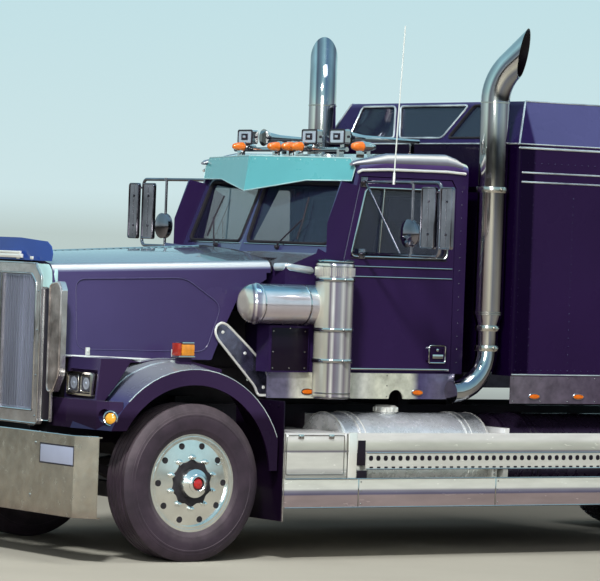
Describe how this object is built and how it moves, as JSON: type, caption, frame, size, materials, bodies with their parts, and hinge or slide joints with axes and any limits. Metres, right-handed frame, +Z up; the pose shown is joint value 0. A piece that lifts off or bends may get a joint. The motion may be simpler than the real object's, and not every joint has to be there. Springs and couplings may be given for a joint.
{
  "type": "semi truck tractor unit",
  "caption": "Long-hood semi truck tractor unit with a sleeper box, upright stacks, side air cleaners, polished tanks and steps, tandem drive axles and a fifth wheel.",
  "frame": {"origin": "on the ground, midway between the bumper and the rear ends of the frame rails, on the centre plane", "axes": "+X to the rear, +Y to the passenger's side, +Z up; the front faces -X and the driver's side -Y"},
  "size_m": [8.58, 4.064, 3.7346],
  "materials": {
    "body_paint": "gloss dark blue paint",
    "visor_paint": "gloss blue green paint",
    "chrome": "bright chrome",
    "polished_aluminium": "polished",
    "grille_metal": "fine upright bars",
    "chassis_paint": "satin black paint",
    "chassis_steel": "satin black paint",
    "plate_steel": "greased steel",
    "axle_iron": "painted casting",
    "engine_iron": "painted casting",
    "spring_steel": "dark spring steel",
    "tyre": "black tyre rubber",
    "black_rubber": "matte",
    "glass": "lightly tinted",
    "lamp_glass": "clear lens over a reflector",
    "blue_acrylic": "tinted acrylic",
    "amber_lens": "amber lens",
    "red_lens": "red lens",
    "dark_plastic": "grained",
    "seat_fabric": "woven cover"
  },
  "bodies": {
    "chassis": {"frame_rails": "chassis_paint", "frame_members": "chassis_paint", "bumper": "chrome", "suspension": "spring_steel", "front_axle": "axle_iron", "drive_axles": "axle_iron", "powertrain": "engine_iron", "cab_shell": "body_paint", "windows": "glass", "sun_visor": "visor_paint", "roof_lamps": "chrome", "seats": "seat_fabric", "dashboard": "dark_plastic", "sleeper_shell": "body_paint", "sleeper_boot": "black_rubber", "skirts": "chrome", "air_cleaners": "chrome", "exhaust_stacks": "chrome", "fuel_tanks": "polished_aluminium", "steps": "polished_aluminium", "fifth_wheel_base": "chassis_steel", "tail_lamps": "red_lens", "mudflaps": "black_rubber", "air_horns": "chrome", "roof_markers": "amber_lens"},
    "knuckle_left": {"knuckle_left": "axle_iron"},
    "knuckle_right": {"knuckle_right": "axle_iron"},
    "tie_rod": {"tie_rod": "axle_iron"},
    "wheel_front_left": {"rim_front_left": "polished_aluminium", "tyre_front_left": "tyre"},
    "wheel_front_right": {"rim_front_right": "polished_aluminium", "tyre_front_right": "tyre"},
    "wheels_middle_left": {"rim_middle_left": "polished_aluminium", "tyres_middle_left": "tyre"},
    "wheels_middle_right": {"rim_middle_right": "polished_aluminium", "tyres_middle_right": "tyre"},
    "wheels_rear_left": {"rim_rear_left": "polished_aluminium", "tyres_rear_left": "tyre"},
    "wheels_rear_right": {"rim_rear_right": "polished_aluminium", "tyres_rear_right": "tyre"},
    "door_left": {"door_left": "body_paint", "door_glass_left": "glass", "mirror_left": "chrome"},
    "door_right": {"door_right": "body_paint", "door_glass_right": "glass", "mirror_right": "chrome"},
    "hood": {"hood": "body_paint", "fenders": "body_paint", "grille_shell": "chrome", "grille_bars": "grille_metal", "headlamps": "lamp_glass", "marker_lamps": "amber_lens", "bug_deflector": "blue_acrylic", "splash_guards": "chrome"},
    "fifth_wheel_plate": {"fifth_wheel_plate": "plate_steel"}
  },
  "joints": [
    {"name": "steer_left", "type": "hinge", "parent": "chassis", "child": "knuckle_left", "pos_m": [-3.41, -0.97, 0.525], "axis": [0, 0, 1], "range_deg": [-33, 33]},
    {"name": "steer_right", "type": "hinge", "parent": "chassis", "child": "knuckle_right", "pos_m": [-3.41, 0.97, 0.525], "axis": [0, 0, 1], "range_deg": [-33, 33]},
    {"name": "tie_rod_end", "type": "hinge", "parent": "knuckle_left", "child": "tie_rod", "pos_m": [-3.22, -0.97, 0.4375], "axis": [0, 0, 1], "range_deg": [-33, 33]},
    {"name": "wheel_front_left_spin", "type": "hinge", "parent": "knuckle_left", "child": "wheel_front_left", "pos_m": [-3.41, -1.04, 0.525], "axis": [0, 1, 0], "continuous": true},
    {"name": "wheel_front_right_spin", "type": "hinge", "parent": "knuckle_right", "child": "wheel_front_right", "pos_m": [-3.41, 1.04, 0.525], "axis": [0, 1, 0], "continuous": true},
    {"name": "wheels_middle_left_spin", "type": "hinge", "parent": "chassis", "child": "wheels_middle_left", "pos_m": [2.13, -0.93, 0.525], "axis": [0, 1, 0], "continuous": true},
    {"name": "wheels_middle_right_spin", "type": "hinge", "parent": "chassis", "child": "wheels_middle_right", "pos_m": [2.13, 0.93, 0.525], "axis": [0, 1, 0], "continuous": true},
    {"name": "wheels_rear_left_spin", "type": "hinge", "parent": "chassis", "child": "wheels_rear_left", "pos_m": [3.45, -0.93, 0.525], "axis": [0, 1, 0], "continuous": true},
    {"name": "wheels_rear_right_spin", "type": "hinge", "parent": "chassis", "child": "wheels_rear_right", "pos_m": [3.45, 0.93, 0.525], "axis": [0, 1, 0], "continuous": true},
    {"name": "door_left_hinge", "type": "hinge", "parent": "chassis", "child": "door_left", "pos_m": [-2.113, -0.984, 1.9], "axis": [0, 0, -1], "range_deg": [0, 70]},
    {"name": "door_right_hinge", "type": "hinge", "parent": "chassis", "child": "door_right", "pos_m": [-2.113, 0.984, 1.9], "axis": [0, 0, 1], "range_deg": [0, 70]},
    {"name": "hood_tilt", "type": "hinge", "parent": "chassis", "child": "hood", "pos_m": [-4.172, 0, 0.88], "axis": [0, -1, 0], "range_deg": [0, 60]},
    {"name": "fifth_wheel_tilt", "type": "hinge", "parent": "chassis", "child": "fifth_wheel_plate", "pos_m": [2.54, 0, 1.15], "axis": [0, 1, 0], "range_deg": [-15, 15]}
  ],
  "couplings": [
    {"joint": "steer_right", "follows": "steer_left", "ratio": 1},
    {"joint": "tie_rod_end", "follows": "steer_left", "ratio": -1}
  ]
}
